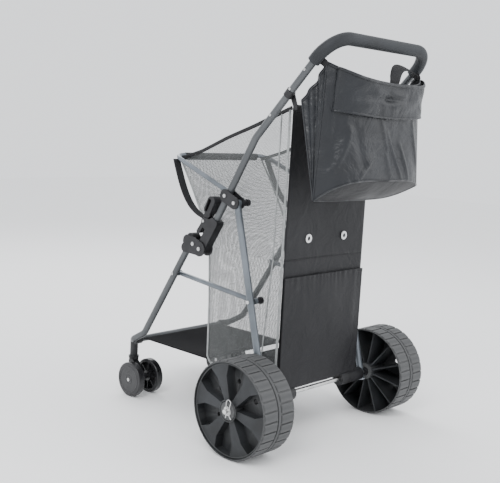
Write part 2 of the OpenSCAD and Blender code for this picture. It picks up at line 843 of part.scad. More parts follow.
// Clips that hang the tote's front corners from the handle
module tote_clips() {
    p = bend_pt + 145.5 * up_back(grip_rake);
    q = p + 18 * up_back(grip_rake);
    tab = p + 9 * up_back(grip_rake);
    color([0.08, 0.08, 0.08]) both() difference() {
        union() {
            straight(side_pt(side_x, p), side_pt(side_x, q), tube_d + 5, 0);
            plate(side_x - 12, side_x - 9) bar_shape(tab, tab + [14, -34], 8, 6);
        }
        along(side_pt(side_x, p - 2 * up_back(grip_rake)), side_pt(side_x, q)) cylinder(d = tube_d + 0.1, h = 24);
    }
}

handle_tube();
foam_grip();
pivot_plates(1);  // pivot_plates_left
pivot_plates(-1);  // pivot_plates_right
leg_bolts();
hoop_bolts();
bolt_caps();
snap_buttons();
latch_body(1);  // latch_body_left
latch_body(-1);  // latch_body_right
lever(1);  // lever_left
lever(-1);  // lever_right
lever_pins();
front_tube();
latch_socket(1);  // latch_socket_left
latch_socket(-1);  // latch_socket_right
hinge_rivets();
lock_pins();
brace_rivets();
brace(1);  // brace_left
brace(-1);  // brace_right
brace_cap(1);  // brace_cap_left
brace_cap(-1);  // brace_cap_right
rear_leg(1);  // rear_leg_left
rear_leg(-1);  // rear_leg_right
leg_plugs();
leg_studs();
axle();
axle_sleeves();
hub_spacers();
axle_washers();
hitch_pins();
rear_wheel(1);  // rear_wheel_left
rear_wheel(-1);  // rear_wheel_right
wheel_bush(1);  // wheel_bush_left
wheel_bush(-1);  // wheel_bush_right
caster_socket(1);  // caster_socket_left
caster_socket(-1);  // caster_socket_right
caster_fork(1);  // caster_fork_left
caster_fork(-1);  // caster_fork_right
caster_wheels(1);  // caster_wheels_left
caster_wheels(-1);  // caster_wheels_right
caster_axle(1);  // caster_axle_left
caster_axle(-1);  // caster_axle_right
hoop_tube();
bag_side(1);  // bag_side_left
bag_side(-1);  // bag_side_right
bag_front();
bag_rear();
bag_floor();
apron();
rear_pocket();
grommets();
hoop_strap(1);  // hoop_strap_left
hoop_strap(-1);  // hoop_strap_right
tote_body();
tote_pocket();
tote_flap();
tote_clips();
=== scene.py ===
import math
import bmesh
import bpy
from mathutils import Matrix, Vector, noise


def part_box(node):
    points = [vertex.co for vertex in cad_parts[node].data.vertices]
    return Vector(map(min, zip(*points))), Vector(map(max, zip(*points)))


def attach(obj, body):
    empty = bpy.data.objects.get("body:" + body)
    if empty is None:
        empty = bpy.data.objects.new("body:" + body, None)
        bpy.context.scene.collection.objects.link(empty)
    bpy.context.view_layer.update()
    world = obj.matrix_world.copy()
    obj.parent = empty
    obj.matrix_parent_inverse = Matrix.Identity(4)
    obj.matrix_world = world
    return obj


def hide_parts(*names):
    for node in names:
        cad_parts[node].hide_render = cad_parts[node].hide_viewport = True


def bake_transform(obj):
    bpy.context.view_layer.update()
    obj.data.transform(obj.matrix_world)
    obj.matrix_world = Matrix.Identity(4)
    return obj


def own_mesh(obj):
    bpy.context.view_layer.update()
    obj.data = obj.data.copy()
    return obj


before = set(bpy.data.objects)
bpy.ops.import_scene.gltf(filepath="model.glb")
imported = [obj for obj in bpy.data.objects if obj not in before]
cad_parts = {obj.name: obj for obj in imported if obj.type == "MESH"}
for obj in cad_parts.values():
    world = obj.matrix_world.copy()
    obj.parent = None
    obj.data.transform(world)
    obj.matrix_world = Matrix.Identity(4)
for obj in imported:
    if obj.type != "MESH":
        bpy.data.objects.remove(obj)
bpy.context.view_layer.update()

# The view: a standing person's eye, low, off the cart's near rear corner.
# The lens, the slight roll and the small shift frame the whole cart.
eye = Vector((1.7972, 1.6086, 0.8362))
heading, pitch, roll = math.radians(133.66), math.radians(8.30), math.radians(3.05)
focal_share = 844.8 / 500
sensor_mm = 36
back = Vector((
    math.sin(heading) * math.cos(pitch),
    -math.cos(heading) * math.cos(pitch),
    math.sin(pitch)))
right = (-back).cross(Vector((0, 0, 1))).normalized()
up = right.cross(-back)
side = right * math.cos(roll) + up * math.sin(roll)
top = up * math.cos(roll) - right * math.sin(roll)
camera_data = bpy.data.cameras.new("view")
camera_data.sensor_width = sensor_mm
camera_data.lens = focal_share * sensor_mm
camera_data.shift_x = 0.014
camera_data.shift_y = 0.0116
camera = bpy.data.objects.new("view", camera_data)
bpy.context.scene.collection.objects.link(camera)
camera.matrix_world = Matrix((
    (side.x, top.x, back.x, eye.x),
    (side.y, top.y, back.y, eye.y),
    (side.z, top.z, back.z, eye.z),
    (0, 0, 0, 1)))
bpy.context.scene.camera = camera

# The floor: a plain pale studio sweep, and the soft boxes that light it.
# Neither is part of the cart.
floor_mesh = bpy.data.meshes.new("studio_floor")
sweep = bmesh.new()
bmesh.ops.create_grid(sweep, x_segments=8, y_segments=8, size=8)
sweep.to_mesh(floor_mesh)
floor = bpy.data.objects.new("studio_floor", floor_mesh)
bpy.context.scene.collection.objects.link(floor)
pale = bpy.data.materials.new("pale_floor")
pale.use_nodes = True
pale_shader = pale.node_tree.nodes["Principled BSDF"]
pale_shader.inputs["Base Color"].default_value = (0.96, 0.96, 0.96, 1)
pale_shader.inputs["Roughness"].default_value = 0.9
floor_mesh.materials.append(pale)
world = bpy.data.worlds.new("studio_air")
bpy.context.scene.world = world
world.use_nodes = True
air = world.node_tree.nodes["Background"]
air.inputs["Color"].default_value = (0.95, 0.97, 1.0, 1)
air.inputs["Strength"].default_value = 1.5
for lamp_name, place, power, size in (
        ("key_light", (2.6, 1.2, 2.8), 70, 1.6),
        ("fill_light", (-1.6, 2.8, 2.0), 34, 2.2),
        ("rim_light", (-1.0, -2.4, 2.6), 40, 1.8)):
    lamp_data = bpy.data.lights.new(lamp_name, "AREA")
    lamp_data.energy = power
    lamp_data.size = size
    lamp = bpy.data.objects.new(lamp_name, lamp_data)
    lamp.location = place
    lamp.rotation_euler = (Vector((0, 0, 0.5)) - lamp.location).to_track_quat("-Z", "Y").to_euler()
    bpy.context.scene.collection.objects.link(lamp)

# The bent tubes: steel tube with a satin powder coat, a mid grey on the handle and front frame.
# The coat has a fine orange-peel skin, and it is rubbed a little paler in places.
def new_finish(name, color, rough, metallic=0.0, sheen=0.0, shine=0.5):
    """A material with its shader, ready for the nodes that give the surface its detail."""
    m = bpy.data.materials.new(name)
    m.use_nodes = True
    shader = m.node_tree.nodes["Principled BSDF"]
    shader.inputs["Base Color"].default_value = (*color, 1)
    shader.inputs["Roughness"].default_value = rough
    shader.inputs["Metallic"].default_value = metallic
    shader.inputs["Sheen Weight"].default_value = sheen
    shader.inputs["Specular IOR Level"].default_value = shine
    return m, m.node_tree.nodes, m.node_tree.links, shader


def skin_detail(m, light, dark, patch, grain, bump, rough_low, rough_high):
    """Broad patches of shade, a fine grain in the bump, and a roughness that wanders with them."""
    n, l = m.node_tree.nodes, m.node_tree.links
    shader = n["Principled BSDF"]
    place = n.new("ShaderNodeTexCoord")
    broad = n.new("ShaderNodeTexNoise")
    broad.inputs["Scale"].default_value = patch
    broad.inputs["Detail"].default_value = 5
    l.new(place.outputs["Object"], broad.inputs["Vector"])
    shade = n.new("ShaderNodeValToRGB")
    shade.color_ramp.elements[0].position = 0.35
    shade.color_ramp.elements[1].position = 0.68
    shade.color_ramp.elements[0].color = (*dark, 1)
    shade.color_ramp.elements[1].color = (*light, 1)
    l.new(broad.outputs["Fac"], shade.inputs["Fac"])
    l.new(shade.outputs["Color"], shader.inputs["Base Color"])
    fine = n.new("ShaderNodeTexNoise")
    fine.inputs["Scale"].default_value = grain
    fine.inputs["Detail"].default_value = 3
    l.new(place.outputs["Object"], fine.inputs["Vector"])
    rise = n.new("ShaderNodeBump")
    rise.inputs["Strength"].default_value = bump
    rise.inputs["Distance"].default_value = 0.0006
    l.new(fine.outputs["Fac"], rise.inputs["Height"])
    l.new(rise.outputs["Normal"], shader.inputs["Normal"])
    gloss = n.new("ShaderNodeMapRange")
    gloss.inputs["To Min"].default_value = rough_low
    gloss.inputs["To Max"].default_value = rough_high
    l.new(broad.outputs["Fac"], gloss.inputs["Value"])
    l.new(gloss.outputs["Result"], shader.inputs["Roughness"])
    return shade


def paint(m, *nodes):
    """Gives a CAD node's object this finish."""
    for name in nodes:
        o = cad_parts[name]
        o.data.materials.clear()
        o.data.materials.append(m)


grey_coat = new_finish("grey_powder_coat", (0.09, 0.094, 0.099), 0.36, 0.35, 0, 0.4)[0]
skin_detail(grey_coat, (0.105, 0.11, 0.115), (0.07, 0.074, 0.078), 9, 900, 0.25, 0.28, 0.44)
paint(grey_coat, "handle_tube", "front_tube")

# The rear legs, the braces and the hoop: the same tube in a paler silver coat.
# Thin flakes in the coat catch the light.
silver_coat = new_finish("silver_coat", (0.15, 0.168, 0.188), 0.34, 0.6, 0, 0.4)[0]
skin_detail(silver_coat, (0.19, 0.21, 0.235), (0.12, 0.135, 0.15), 12, 1400, 0.2, 0.24, 0.4)
paint(silver_coat, "rear_leg_left", "rear_leg_right", "brace_left", "brace_right", "hoop_tube")

# The plugs in the ends of the rear legs: soft grey plastic caps, moulded in one piece.
# They are pushed into the tubes and held by their own grip.
plug_finish = new_finish("plug_plastic", (0.35, 0.37, 0.4), 0.5)[0]
skin_detail(plug_finish, (0.42, 0.44, 0.47), (0.3, 0.32, 0.35), 30, 900, 0.2, 0.4, 0.6)
paint(plug_finish, "leg_plugs")

# The rivets, bolts, snap buttons, axle, washers and spring clips: bright zinc on steel.
# Drawn or turned, so fine lines run round them.
zinc = new_finish("bright_zinc", (0.62, 0.62, 0.62), 0.28, 1.0)[0]
skin_detail(zinc, (0.7, 0.7, 0.69), (0.5, 0.5, 0.5), 60, 2200, 0.25, 0.18, 0.42)
paint(zinc, "leg_bolts", "hoop_bolts", "snap_buttons", "lever_pins", "hinge_rivets", "lock_pins",
      "brace_rivets", "leg_studs", "axle", "axle_washers", "hitch_pins",
      "caster_axle_left", "caster_axle_right")

# The latches, pivot plates, caps, sleeves, clips and caster parts: black moulded plastic.
# A spark-eroded mould leaves a fine even grain, and corners are rubbed a little grey.
black_plastic = new_finish("black_moulded_plastic", (0.014, 0.014, 0.015), 0.42, 0, 0, 0.35)[0]
skin_detail(black_plastic, (0.02, 0.02, 0.022), (0.009, 0.009, 0.01), 25, 1500, 0.35, 0.3, 0.5)
paint(black_plastic, "pivot_plates_left", "pivot_plates_right", "bolt_caps", "latch_body_left",
      "latch_body_right", "lever_left", "lever_right", "latch_socket_left", "latch_socket_right",
      "brace_cap_left", "brace_cap_right", "axle_sleeves", "hub_spacers", "wheel_bush_left",
      "wheel_bush_right", "caster_socket_left", "caster_socket_right", "caster_fork_left",
      "caster_fork_right", "tote_clips")

# The foam grip: a closed-cell foam tube pulled over the bar and round both corners.
# Its skin is matt, with small pores, and a little paler where hands rub it.
foam = new_finish("closed_cell_foam", (0.03, 0.032, 0.036), 0.7, 0, 0.04, 0.3)[0]
skin_detail(foam, (0.027, 0.03, 0.034), (0.015, 0.0165, 0.019), 14, 520, 0.8, 0.5, 0.75)
paint(foam, "foam_grip")

# The rear wheels: blow-moulded plastic, six wide webs with deep pockets between them.
# The tread is two rows of cross lugs, set half a step apart, either side of a plain rib.
wheel_plastic, wheel_nodes, wheel_links, wheel_shader = new_finish(
    "wheel_plastic", (0.025, 0.026, 0.028), 0.5, 0, 0, 0.3)
wheel_shade = skin_detail(
    wheel_plastic, (0.031, 0.033, 0.036), (0.014, 0.015, 0.016), 16, 700, 0.5, 0.42, 0.68)
# Painted highlight: the sharp edges of the lugs and webs are painted paler by their pointiness, as if
# catching the light.
edge_highlight_geometry = wheel_nodes.new("ShaderNodeNewGeometry")
edge_ramp = wheel_nodes.new("ShaderNodeValToRGB")
edge_ramp.color_ramp.elements[0].position = 0.5
edge_ramp.color_ramp.elements[1].position = 0.62
wheel_links.new(edge_highlight_geometry.outputs["Pointiness"], edge_ramp.inputs["Fac"])
edge_mix = wheel_nodes.new("ShaderNodeMix")
edge_mix.data_type = "RGBA"
edge_mix.inputs["B"].default_value = (0.08, 0.081, 0.082, 1)
wheel_links.new(edge_ramp.outputs["Color"], edge_mix.inputs["Factor"])
wheel_links.new(wheel_shade.outputs["Color"], edge_mix.inputs["A"])
wheel_links.new(edge_mix.outputs["Result"], wheel_shader.inputs["Base Color"])

tread_groove = 0.0032
lug_count = 30
lug_gap = math.radians(1.1)
lug_cuts = 4
lug_foot = tread_groove + 0.001
rib_half = 0.0045
rib_steps = 120


def add_piece(name, mesh, material, body):
    """Links a piece, gives it its finish, and lets it ride on a body of the frame."""
    o = bpy.data.objects.new(name, mesh)
    bpy.context.scene.collection.objects.link(o)
    mesh.materials.clear()
    mesh.materials.append(material)
    if body:
        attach(o, body)
    return o


for tag in ("left", "right"):
    low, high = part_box("rear_wheel_" + tag)
    hub = (low + high) / 2
    wheel_r = (high.z - low.z) / 2
    outside = 1 if hub.x > 0 else -1
    # The body of the wheel, with the tread's floor turned down to the bottom of the grooves
    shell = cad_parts["rear_wheel_" + tag].data.copy()
    for v in shell.vertices:
        away = Vector((0, v.co.y - hub.y, v.co.z - hub.z))
        if away.length > wheel_r - 0.0012:
            v.co -= away.normalized() * tread_groove
    shell.shade_flat()
    wheel = add_piece("wheel_moulding_" + tag, shell, wheel_plastic, "wheel_" + tag)
    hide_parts("rear_wheel_" + tag)
    wheel_bevel = wheel.modifiers.new("eased_edges", "BEVEL")
    wheel_bevel.width = 0.0012
    wheel_bevel.segments = 2
    wheel_bevel.limit_method = "ANGLE"
    # The lugs: curved blocks from the rib out to each edge, with a small chamfer
    lugs = bmesh.new()
    half_w = (high.x - low.x) / 2
    step = 2 * math.pi / lug_count
    rows = ((rib_half + 0.003, half_w - 0.002), (-half_w + 0.002, -rib_half - 0.003))
    for row, (x_in, x_out) in enumerate(rows):
        for k in range(lug_count):
            start = k * step + row * step / 2 + lug_gap
            stop = (k + 1) * step + row * step / 2 - lug_gap
            rings = []
            for x_at, drop in (
                    (x_in, lug_foot), (x_in + 0.0012, 0), (x_out - 0.0025, 0),
                    (x_out, 0.0018), (x_out, lug_foot)):
                line = []
                for c in range(lug_cuts + 1):
                    a = start + (stop - start) * c / lug_cuts
                    r = wheel_r - drop
                    line.append(lugs.verts.new((
                        hub.x + x_at, hub.y + r * math.cos(a), hub.z + r * math.sin(a))))
                rings.append(line)
            for i in range(len(rings) - 1):
                for c in range(lug_cuts):
                    lugs.faces.new((
                        rings[i][c], rings[i][c + 1], rings[i + 1][c + 1], rings[i + 1][c]))
            for end in (0, lug_cuts):
                shrink = (wheel_r - lug_foot) / wheel_r
                foot = [
                    lugs.verts.new((
                        v.co.x, hub.y + (v.co.y - hub.y) * shrink, hub.z + (v.co.z - hub.z) * shrink))
                    for v in (rings[1][end], rings[2][end])]
                lugs.faces.new((rings[0][end], rings[1][end], foot[0]))
                lugs.faces.new((rings[1][end], rings[2][end], foot[1], foot[0]))
                lugs.faces.new((rings[2][end], rings[3][end], rings[4][end], foot[1]))
    for k in range(rib_steps):
        corner = []
        for a in (2 * math.pi * k / rib_steps, 2 * math.pi * (k + 1) / rib_steps):
            for x_at, drop in (
                    (-rib_half, lug_foot), (-rib_half + 0.001, 0.0003),
                    (rib_half - 0.001, 0.0003), (rib_half, lug_foot)):
                r = wheel_r - drop
                corner.append(lugs.verts.new((
                    hub.x + x_at, hub.y + r * math.cos(a), hub.z + r * math.sin(a))))
        for i in range(3):
            lugs.faces.new((corner[i], corner[i + 1], corner[i + 5], corner[i + 4]))
    bmesh.ops.remove_doubles(lugs, verts=lugs.verts, dist=1e-5)
    bmesh.ops.recalc_face_normals(lugs, faces=lugs.faces)
    tread_mesh = bpy.data.meshes.new("tread_" + tag)
    lugs.to_mesh(tread_mesh)
    tread = add_piece("tread_" + tag, tread_mesh, wheel_plastic, "wheel_" + tag)
    # A raised ring round the hub and a rolled lip round the face
    trim = bmesh.new()
    for circle_r, circle_w in ((wheel_r - 0.009, 0.0016), (0.0275, 0.0014)):
        for k in range(96):
            pts = []
            for a in (2 * math.pi * k / 96, 2 * math.pi * (k + 1) / 96):
                for b in range(6):
                    w = math.pi * b / 5
                    r = circle_r + circle_w * math.cos(w)
                    inset = 0.0052 if circle_r > 0.05 else 0.0
                    x_at = outside * (half_w - inset + circle_w * math.sin(w) * 0.9)
                    pts.append(trim.verts.new((
                        hub.x + x_at, hub.y + r * math.cos(a), hub.z + r * math.sin(a))))
            for b in range(5):
                trim.faces.new((pts[b], pts[b + 1], pts[b + 7], pts[b + 6]))
    bmesh.ops.remove_doubles(trim, verts=trim.verts, dist=1e-5)
    bmesh.ops.recalc_face_normals(trim, faces=trim.faces)
    trim_mesh = bpy.data.meshes.new("face_ring_" + tag)
    trim.to_mesh(trim_mesh)
    trim_mesh.shade_smooth()
    add_piece("face_ring_" + tag, trim_mesh, wheel_plastic, "wheel_" + tag)

# The casters: pairs of glossy black wheels with a soft tread, ribbed on the inner side.
# A raised ring runs round each face.
caster_gloss = new_finish("caster_plastic", (0.012, 0.012, 0.013), 0.3, 0, 0, 0.5)[0]
skin_detail(caster_gloss, (0.02, 0.02, 0.022), (0.008, 0.008, 0.009), 30, 900, 0.25, 0.2, 0.4)
paint(caster_gloss, "caster_wheels_left", "caster_wheels_right")
for tag in ("left", "right"):
    low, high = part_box("caster_wheels_" + tag)
    middle = (low + high) / 2
    face_rings = bmesh.new()
    for face_x in (low.x, high.x):
        outward = 1 if face_x > middle.x else -1
        for ring_r, ring_w in ((0.040, 0.0016), (0.013, 0.0014), (0.0445, 0.0008)):
            for k in range(72):
                pts = []
                for a in (2 * math.pi * k / 72, 2 * math.pi * (k + 1) / 72):
                    for b in range(6):
                        w = math.pi * b / 5
                        r = ring_r + ring_w * math.cos(w)
                        pts.append(face_rings.verts.new((
                            face_x + outward * ring_w * (math.sin(w) * 0.8 - 0.1),
                            middle.y + r * math.cos(a),
                            middle.z + r * math.sin(a))))
                for b in range(5):
                    face_rings.faces.new((pts[b], pts[b + 1], pts[b + 7], pts[b + 6]))
    bmesh.ops.remove_doubles(face_rings, verts=face_rings.verts, dist=1e-5)
    bmesh.ops.recalc_face_normals(face_rings, faces=face_rings.faces)
    ring_mesh = bpy.data.meshes.new("caster_face_" + tag)
    face_rings.to_mesh(ring_mesh)
    ring_mesh.shade_smooth()
    add_piece("caster_face_" + tag, ring_mesh, caster_gloss, "caster_roll_" + tag)

# The cargo bag's sides and front: coated polyester net, silver grey and easy to see through.
# Each is cut to the frame's outline and sewn into bindings, so it hangs with a slight sag.
net, net_nodes, net_links, net_shader = new_finish("silver_net", (0.3, 0.31, 0.31), 0.5, 0, 0, 0.3)
net_place = net_nodes.new("ShaderNodeTexCoord")
net_cells = net_nodes.new("ShaderNodeTexVoronoi")
net_cells.feature = "DISTANCE_TO_EDGE"
net_cells.inputs["Scale"].default_value = 330
net_cells.inputs["Randomness"].default_value = 0.25
net_cells.voronoi_dimensions = "2D"
net_links.new(net_place.outputs["UV"], net_cells.inputs["Vector"])
net_edge = net_nodes.new("ShaderNodeMapRange")
net_edge.inputs["From Min"].default_value = 0.12
net_edge.inputs["From Max"].default_value = 0.18
net_edge.inputs["To Min"].default_value = 0.9
net_edge.inputs["To Max"].default_value = 0.05
net_links.new(net_cells.outputs["Distance"], net_edge.inputs["Value"])
net_links.new(net_edge.outputs["Result"], net_shader.inputs["Alpha"])
net_thread = net_nodes.new("ShaderNodeTexNoise")
net_thread.inputs["Scale"].default_value = 40
net_tone = net_nodes.new("ShaderNodeValToRGB")
net_tone.color_ramp.elements[0].color = (0.08, 0.084, 0.084, 1)
net_tone.color_ramp.elements[1].color = (0.135, 0.14, 0.14, 1)
net_links.new(net_place.outputs["Object"], net_thread.inputs["Vector"])
net_links.new(net_thread.outputs["Fac"], net_tone.inputs["Fac"])
net_links.new(net_tone.outputs["Color"], net_shader.inputs["Base Color"])

side_low, side_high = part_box("bag_side_left")
bag_half = side_high.x - 0.001
rear_y = side_high.y
floor_z = side_low.z
rear_top = side_high.z
split_z = 0.492
front_line = [
    (-0.045, 0.160), (-0.063, 0.176), (-0.066, 0.34), (-0.075, 0.492),
    (-0.082, 0.520), (-0.117, 0.585), (-0.161, 0.657), (-0.2125, 0.7305)]
hem_line = [(-0.2125, 0.7305), (-0.122, 0.758), (-0.023, 0.799), (0.09, 0.842), (0.2, 0.887)]


def along_line(line, t):
    """The point a share t of the way along a line of corners."""
    spans = [math.dist(line[i], line[i + 1]) for i in range(len(line) - 1)]
    left = max(0.0, min(1.0, t)) * sum(spans)
    for i, span in enumerate(spans):
        if left <= span or i == len(spans) - 1:
            s = min(1.0, left / span)
            (y0, z0), (y1, z1) = line[i], line[i + 1]
            return (y0 + s * (y1 - y0), z0 + s * (z1 - z0))
        left -= span


def grid_mesh(name, columns, rows, point):
    """A sheet of quads whose corners are point(s, t), with s across and t up it, laid out flat in metres."""
    bm = bmesh.new()
    table = [[bm.verts.new(point(i / columns, j / rows)) for i in range(columns + 1)]
             for j in range(rows + 1)]
    middle = rows // 2
    width = sum((table[middle][i + 1].co - table[middle][i].co).length for i in range(columns))
    height = sum((table[j + 1][columns // 2].co - table[j][columns // 2].co).length for j in range(rows))
    laid_out = bm.loops.layers.uv.new("laid_out")
    for j in range(rows):
        for i in range(columns):
            face = bm.faces.new((table[j][i], table[j][i + 1], table[j + 1][i + 1], table[j + 1][i]))
            for corner, (a, b) in zip(face.loops, ((i, j), (i + 1, j), (i + 1, j + 1), (i, j + 1))):
                corner[laid_out].uv = (a / columns * width, b / rows * height)
    mesh = bpy.data.meshes.new(name)
    bm.to_mesh(mesh)
    mesh.shade_smooth()
    return mesh


front_low = [p for p in front_line if p[1] <= split_z]
front_high = [p for p in front_line if p[1] >= split_z]


def net_low_point(sign, s, t):
    fy, fz = along_line(front_low, t)
    z = floor_z + t * (split_z - floor_z)
    y = fy + s * (rear_y - fy)
    z = z + (fz - z) * (1 - s) ** 3
    belly = math.sin(math.pi * s) * (0.35 + 0.65 * math.sin(math.pi * min(1, 0.15 + 0.85 * t)))
    ripple = noise.noise(Vector((y * 9, z * 5, sign * 3.0)))
    return (sign * (bag_half + 0.001 + 0.006 * belly + 0.004 * ripple * math.sin(math.pi * s)), y, z)


def net_high_point(sign, s, t):
    bottom = (front_high[0][0] + s * (rear_y - front_high[0][0]), split_z)
    topmost = along_line(hem_line, s)
    fy, fz = along_line(front_high, t)
    rear = (rear_y, split_z + t * (rear_top - split_z))
    y = (1 - t) * bottom[0] + t * topmost[0] + (1 - s) * fy + s * rear[0]
    z = (1 - t) * bottom[1] + t * topmost[1] + (1 - s) * fz + s * rear[1]
    corner_y = ((1 - s) * (1 - t) * front_high[0][0] + s * (1 - t) * rear_y
                + (1 - s) * t * hem_line[0][0] + s * t * rear_y)
    corner_z = ((1 - s) * (1 - t) * split_z + s * (1 - t) * split_z
                + (1 - s) * t * hem_line[0][1] + s * t * rear_top)
    y, z = y - corner_y, z - corner_z
    belly = math.sin(math.pi * s) * (1 - t) ** 0.5
    ripple = noise.noise(Vector((y * 8, z * 5, sign * 3.0)))
    pull = noise.noise(Vector((s * 3.1, t * 2.3, sign * 7.0)))
    crumple = (0.004 * ripple + 0.004 * pull) * math.sin(math.pi * s)
    return (sign * (bag_half + 0.001 + 0.0055 * belly + crumple), y, z)


def fold_low(o):
    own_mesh(o)


def fold_high(o):
    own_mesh(o)


for sign, tag in ((1, "left"), (-1, "right")):
    low_mesh = grid_mesh("net_lower_" + tag, 30, 34, lambda s, t: net_low_point(sign, s, t))
    low_net = add_piece("net_lower_" + tag, low_mesh, net, "front_frame")
    high_mesh = grid_mesh("net_upper_" + tag, 36, 36, lambda s, t: net_high_point(sign, s, t))
    high_net = add_piece("net_upper_" + tag, high_mesh, net, "handle_frame")
    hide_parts("bag_side_" + tag)
    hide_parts("bag_side_" + tag)
    fold_low(low_net)
    fold_high(high_net)

# The front wall: the same net, upright to the hinge and then leaning out to the hoop.
# Its top is sewn round the hoop's bar.
def front_low_point(s, t):
    fy, fz = along_line(front_low[1:], t)
    x = -bag_half + 2 * bag_half * s
    sag = math.sin(math.pi * s) * (0.004 + 0.004 * noise.noise(Vector((s * 6, t * 4, 1.7))))
    return (x, fy - sag, fz)


def front_high_point(s, t):
    fy, fz = along_line(front_high, t)
    x = -bag_half + 2 * bag_half * s
    sag = math.sin(math.pi * s) * math.sin(math.pi * t) * 0.008
    return (x, fy + sag * 0.7, fz - sag * 0.7)


front_net_low = add_piece(
    "net_front_lower", grid_mesh("net_front_lower", 34, 26, front_low_point), net, "front_frame")
front_net_high = add_piece(
    "net_front_upper", grid_mesh("net_front_upper", 34, 24, front_high_point), net, "handle_frame")
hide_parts("bag_front")
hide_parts("bag_front")
fold_low(front_net_low)
fold_high(front_net_high)

# The rear panel: black coated nylon, sewn between the two sides, pulled flat at the seams.
# Two pale eyelets are pressed through it, and its foot hangs just over the axle.
nylon, nylon_nodes, nylon_links, nylon_shader = new_finish(
    "black_nylon", (0.01, 0.01, 0.012), 0.5, 0, 0.03, 0.22)
nylon_place = nylon_nodes.new("ShaderNodeTexCoord")
nylon_tone = nylon_nodes.new("ShaderNodeTexNoise")
nylon_tone.inputs["Scale"].default_value = 7
nylon_ramp = nylon_nodes.new("ShaderNodeValToRGB")
nylon_ramp.color_ramp.elements[0].color = (0.005, 0.005, 0.006, 1)
nylon_ramp.color_ramp.elements[1].color = (0.013, 0.013, 0.015, 1)
nylon_links.new(nylon_place.outputs["Object"], nylon_tone.inputs["Vector"])
nylon_links.new(nylon_tone.outputs["Fac"], nylon_ramp.inputs["Fac"])
nylon_links.new(nylon_ramp.outputs["Color"], nylon_shader.inputs["Base Color"])
nylon_warp = nylon_nodes.new("ShaderNodeTexWave")
nylon_warp.bands_direction = "Z"
nylon_warp.inputs["Scale"].default_value = 420
nylon_weft = nylon_nodes.new("ShaderNodeTexWave")
nylon_weft.bands_direction = "X"
nylon_weft.inputs["Scale"].default_value = 420
nylon_weave = nylon_nodes.new("ShaderNodeMath")
nylon_weave.operation = "MULTIPLY"
nylon_links.new(nylon_place.outputs["Object"], nylon_warp.inputs["Vector"])
nylon_links.new(nylon_place.outputs["Object"], nylon_weft.inputs["Vector"])
nylon_links.new(nylon_warp.outputs["Fac"], nylon_weave.inputs[0])
nylon_links.new(nylon_weft.outputs["Fac"], nylon_weave.inputs[1])
nylon_bump = nylon_nodes.new("ShaderNodeBump")
nylon_bump.inputs["Strength"].default_value = 0.25
nylon_bump.inputs["Distance"].default_value = 0.0004
nylon_links.new(nylon_weave.outputs["Value"], nylon_bump.inputs["Height"])
nylon_crease = nylon_nodes.new("ShaderNodeTexNoise")
nylon_crease.inputs["Scale"].default_value = 16
nylon_crease.inputs["Detail"].default_value = 6
nylon_crease.inputs["Distortion"].default_value = 1.6
nylon_links.new(nylon_place.outputs["Object"], nylon_crease.inputs["Vector"])
nylon_fold = nylon_nodes.new("ShaderNodeBump")
nylon_fold.inputs["Strength"].default_value = 0.5
nylon_fold.inputs["Distance"].default_value = 0.006
nylon_links.new(nylon_crease.outputs["Fac"], nylon_fold.inputs["Height"])
nylon_links.new(nylon_bump.outputs["Normal"], nylon_fold.inputs["Normal"])
nylon_links.new(nylon_fold.outputs["Normal"], nylon_shader.inputs["Normal"])

panel_low, panel_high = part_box("bag_rear")
pocket_low, pocket_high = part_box("rear_pocket")
pocket_mouth = pocket_high.z


def panel_point(z0, z1):
    def point(s, t):
        x = -bag_half - 0.001 + 2 * (bag_half + 0.001) * s
        z = z0 + (z1 - z0) * t
        hang = math.sin(math.pi * s)
        wave = noise.noise(Vector((x * 7, 0.4, z * 3.0)))
        wave += 0.5 * noise.noise(Vector((x * 16, 1.4, z * 7.0)))
        return (x, panel_low.y + 0.001 + hang * (0.0035 * wave), z)
    return point


rear_low = add_piece(
    "rear_panel_lower", grid_mesh("rear_panel_lower", 48, 44, panel_point(panel_low.z, split_z)),
    nylon, "front_frame")
rear_high = add_piece(
    "rear_panel_upper", grid_mesh("rear_panel_upper", 48, 48, panel_point(split_z, panel_high.z)),
    nylon, "handle_frame")
for part in (rear_low, rear_high):
    thick = part.modifiers.new("cloth", "SOLIDIFY")
    thick.thickness = 0.0012
    thick.offset = 0
    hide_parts("bag_rear")

# The rear pocket: a slack sheet of the same nylon over the panel's lower half.
# Elastic gathers its mouth, so short pleats run down from it and die away below.
def pocket_point(s, t):
    x = -bag_half - 0.001 + 2 * (bag_half + 0.001) * s
    z = pocket_low.z - 0.004 + (pocket_mouth - pocket_low.z + 0.004) * t
    edge = min(1.0, 9 * s, 9 * (1 - s))
    down = (1 - t) * (pocket_mouth - pocket_low.z)
    pinch = 0.4 + 0.6 * abs(noise.noise(Vector((x * 9, 8.0, 0))))
    gather = pinch * (math.exp(-down / 0.022) * 0.0016 * math.sin(x * 340 + 3 * math.sin(x * 31))
                      + math.exp(-down / 0.06) * 0.0022 * noise.noise(Vector((x * 42, 6.0, z * 5))))
    slack = 0.006 * math.sin(math.pi * s) * math.sin(math.pi * min(1, t * 1.02)) ** 0.7
    drape = 0.0045 * noise.noise(Vector((x * 8 + z * 3, 2.2, z * 3.4)))
    drape += 0.002 * noise.noise(Vector((x * 20, 5.2, z * 6)))
    return (x, pocket_low.y + 0.003 + edge * (slack + gather + drape * (1 - t ** 6)) + 0.002, z)


pocket = add_piece(
    "rear_pocket_cloth", grid_mesh("rear_pocket_cloth", 110, 64, pocket_point),
    nylon, "front_frame")
pocket_thick = pocket.modifiers.new("cloth", "SOLIDIFY")
pocket_thick.thickness = 0.0012
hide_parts("rear_pocket")

